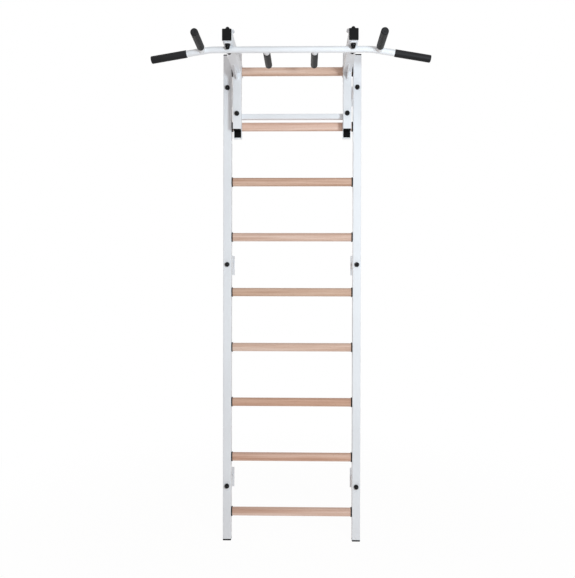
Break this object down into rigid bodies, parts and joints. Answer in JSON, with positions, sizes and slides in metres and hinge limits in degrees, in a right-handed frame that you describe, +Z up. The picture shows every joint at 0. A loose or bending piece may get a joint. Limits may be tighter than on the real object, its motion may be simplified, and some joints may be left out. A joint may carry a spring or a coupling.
{
  "type": "swedish wall bars",
  "caption": "Wall-mounted ladder of wooden rungs between white steel uprights, with a hang-on steel pull-up frame that has a bent bar and black grips.",
  "frame": {"origin": "on the floor and in the wall's plane, midway between the uprights", "axes": "+Z up along the uprights, +Y into the wall, +X to the right as seen from the room"},
  "size_m": [1.2008, 0.7263, 2.394],
  "materials": {
    "white_steel": "white powder coat, satin",
    "beech": "clear matt lacquer on straight-grained beech",
    "black_plastic": "moulded black plastic, fine texture",
    "black_bolt": "black coated domed bolt, slight gloss",
    "black_rubber": "moulded black rubber",
    "grip_rubber": "black rubber grip sleeve, fine texture"
  },
  "bodies": {
    "wall_bars": {"upright_left": "white_steel", "top_cap_left": "black_plastic", "foot_cap_left": "black_plastic", "ferrule_1_left": "black_plastic", "ferrule_2_left": "black_plastic", "ferrule_3_left": "black_plastic", "ferrule_4_left": "black_plastic", "ferrule_5_left": "black_plastic", "ferrule_6_left": "black_plastic", "ferrule_7_left": "black_plastic", "ferrule_8_left": "black_plastic", "ferrule_9_left": "black_plastic", "wall_bracket_lower_left": "white_steel", "bracket_bolt_lower_left": "black_bolt", "wall_bracket_middle_left": "white_steel", "bracket_bolt_middle_left": "black_bolt", "wall_bracket_upper_left": "white_steel", "bracket_bolt_upper_left": "black_bolt", "upright_right": "white_steel", "top_cap_right": "black_plastic", "foot_cap_right": "black_plastic", "ferrule_1_right": "black_plastic", "ferrule_2_right": "black_plastic", "ferrule_3_right": "black_plastic", "ferrule_4_right": "black_plastic", "ferrule_5_right": "black_plastic", "ferrule_6_right": "black_plastic", "ferrule_7_right": "black_plastic", "ferrule_8_right": "black_plastic", "ferrule_9_right": "black_plastic", "wall_bracket_lower_right": "white_steel", "bracket_bolt_lower_right": "black_bolt", "wall_bracket_middle_right": "white_steel", "bracket_bolt_middle_right": "black_bolt", "wall_bracket_upper_right": "white_steel", "bracket_bolt_upper_right": "black_bolt", "rung_1": "beech", "rung_2": "beech", "rung_3": "beech", "rung_4": "beech", "rung_5": "beech", "rung_6": "beech", "rung_7": "beech", "rung_8": "beech", "rung_9": "beech"},
    "pull_up_frame": {"side_frame_left": "white_steel", "frame_shoe_left": "black_rubber", "arm_cap_left": "black_plastic", "side_frame_right": "white_steel", "frame_shoe_right": "black_rubber", "arm_cap_right": "black_plastic", "crossbar": "white_steel", "pull_up_bar": "white_steel", "end_grip_left": "grip_rubber", "forward_grip_left": "grip_rubber", "inner_grip_left": "grip_rubber", "end_grip_right": "grip_rubber", "forward_grip_right": "grip_rubber", "inner_grip_right": "grip_rubber"}
  },
  "joints": [
    {"name": "frame_lift", "type": "slide", "parent": "wall_bars", "child": "pull_up_frame", "axis": [0, -0.0698, 0.9976], "range_m": [0, 0.45]}
  ]
}
